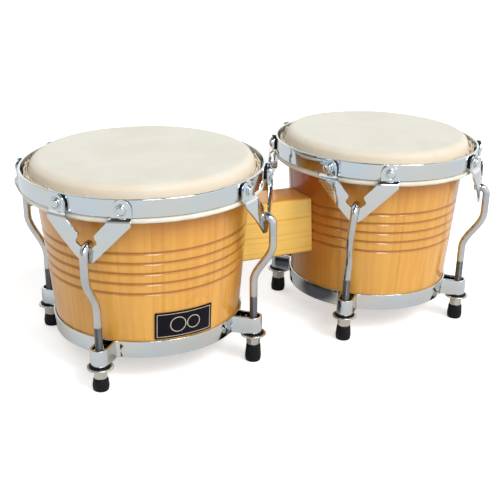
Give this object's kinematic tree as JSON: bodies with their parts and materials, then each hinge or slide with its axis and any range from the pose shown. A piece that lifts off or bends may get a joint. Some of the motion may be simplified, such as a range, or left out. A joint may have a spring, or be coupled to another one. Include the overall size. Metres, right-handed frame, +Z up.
{
  "type": "bongo drums",
  "caption": "Bongo drums: a large and a small staved wooden shell joined by a block, with skin heads, chrome rims, hooked tuning rods and rubber feet.",
  "frame": {"origin": "on the floor, below the middle of the pair's bounding box", "axes": "+X from the large drum to the small one, +Y away from the badge side, +Z up"},
  "size_m": [0.4514, 0.216, 0.187],
  "materials": {
    "shell_wood": "clear gloss lacquer over honey-coloured staves",
    "block_wood": "clear satin lacquer over pale pine",
    "skin": "natural cream skin, dry and matt",
    "lapped_skin": "cream skin lapped round a steel ring",
    "chrome": "bright chrome plate",
    "steel": "nickel-plated steel",
    "rubber": "matt black",
    "badge": "satin black with a pale border line, blank"
  },
  "bodies": {
    "drum_pair": {"large_shell": "shell_wood", "large_head": "skin", "large_bottom_band": "chrome", "large_washer_1": "chrome", "large_washer_2": "chrome", "large_washer_3": "chrome", "large_washer_4": "chrome", "large_backing_plate": "steel", "large_block_bolt_1": "steel", "large_block_bolt_2": "steel", "small_shell": "shell_wood", "small_head": "skin", "small_bottom_band": "chrome", "small_washer_1": "chrome", "small_washer_2": "chrome", "small_washer_3": "chrome", "small_washer_4": "chrome", "small_backing_plate": "steel", "small_block_bolt_1": "steel", "small_block_bolt_2": "steel", "centre_block": "block_wood", "badge_plate": "badge"},
    "large_tension": {"large_rim": "chrome", "large_flesh_hoop": "lapped_skin", "large_lug_bracket_1": "chrome", "large_lug_bracket_2": "chrome", "large_lug_bracket_3": "chrome", "large_lug_bracket_4": "chrome", "large_tuning_rod_1": "chrome", "large_tuning_rod_2": "chrome", "large_tuning_rod_3": "chrome", "large_tuning_rod_4": "chrome", "large_foot_cap_1": "rubber", "large_foot_cap_2": "rubber", "large_foot_cap_3": "rubber", "large_foot_cap_4": "rubber"},
    "large_nut_1": {"large_nut_1": "steel"},
    "large_nut_2": {"large_nut_2": "steel"},
    "large_nut_3": {"large_nut_3": "steel"},
    "large_nut_4": {"large_nut_4": "steel"},
    "small_tension": {"small_rim": "chrome", "small_flesh_hoop": "lapped_skin", "small_lug_bracket_1": "chrome", "small_lug_bracket_2": "chrome", "small_lug_bracket_3": "chrome", "small_lug_bracket_4": "chrome", "small_tuning_rod_1": "chrome", "small_tuning_rod_2": "chrome", "small_tuning_rod_3": "chrome", "small_tuning_rod_4": "chrome", "small_foot_cap_1": "rubber", "small_foot_cap_2": "rubber", "small_foot_cap_3": "rubber", "small_foot_cap_4": "rubber"},
    "small_nut_1": {"small_nut_1": "steel"},
    "small_nut_2": {"small_nut_2": "steel"},
    "small_nut_3": {"small_nut_3": "steel"},
    "small_nut_4": {"small_nut_4": "steel"}
  },
  "joints": [
    {"name": "large_tension_slide", "type": "slide", "parent": "drum_pair", "child": "large_tension", "axis": [0.0349, 0, -0.9994], "range_m": [0, 0.003]},
    {"name": "large_nut_1_turn", "type": "hinge", "parent": "drum_pair", "child": "large_nut_1", "pos_m": [-0.18453, -0.07248, 0.01156], "axis": [-0.0349, 0, 0.9994], "range_deg": [0, 1081]},
    {"name": "large_nut_2_turn", "type": "hinge", "parent": "drum_pair", "child": "large_nut_2", "pos_m": [-0.03966, -0.07248, 0.01662], "axis": [-0.0349, 0, 0.9994], "range_deg": [0, 1081]},
    {"name": "large_nut_3_turn", "type": "hinge", "parent": "drum_pair", "child": "large_nut_3", "pos_m": [-0.03966, 0.07248, 0.01662], "axis": [-0.0349, 0, 0.9994], "range_deg": [0, 1081]},
    {"name": "large_nut_4_turn", "type": "hinge", "parent": "drum_pair", "child": "large_nut_4", "pos_m": [-0.18453, 0.07248, 0.01156], "axis": [-0.0349, 0, 0.9994], "range_deg": [0, 1081]},
    {"name": "small_tension_slide", "type": "slide", "parent": "drum_pair", "child": "small_tension", "axis": [0, 0, -1], "range_m": [0, 0.003]},
    {"name": "small_nut_1_turn", "type": "hinge", "parent": "drum_pair", "child": "small_nut_1", "pos_m": [0.06059, -0.06611, 0.0141], "axis": [0, 0, 1], "range_deg": [0, 1081]},
    {"name": "small_nut_2_turn", "type": "hinge", "parent": "drum_pair", "child": "small_nut_2", "pos_m": [0.19281, -0.06611, 0.0141], "axis": [0, 0, 1], "range_deg": [0, 1081]},
    {"name": "small_nut_3_turn", "type": "hinge", "parent": "drum_pair", "child": "small_nut_3", "pos_m": [0.19281, 0.06611, 0.0141], "axis": [0, 0, 1], "range_deg": [0, 1081]},
    {"name": "small_nut_4_turn", "type": "hinge", "parent": "drum_pair", "child": "small_nut_4", "pos_m": [0.06059, 0.06611, 0.0141], "axis": [0, 0, 1], "range_deg": [0, 1081]}
  ],
  "couplings": [
    {"joint": "large_nut_1_turn", "follows": "large_tension_slide", "rad_per_m": 6283.2},
    {"joint": "large_nut_2_turn", "follows": "large_tension_slide", "rad_per_m": 6283.2},
    {"joint": "large_nut_3_turn", "follows": "large_tension_slide", "rad_per_m": 6283.2},
    {"joint": "large_nut_4_turn", "follows": "large_tension_slide", "rad_per_m": 6283.2},
    {"joint": "small_nut_1_turn", "follows": "small_tension_slide", "rad_per_m": 6283.2},
    {"joint": "small_nut_2_turn", "follows": "small_tension_slide", "rad_per_m": 6283.2},
    {"joint": "small_nut_3_turn", "follows": "small_tension_slide", "rad_per_m": 6283.2},
    {"joint": "small_nut_4_turn", "follows": "small_tension_slide", "rad_per_m": 6283.2}
  ]
}
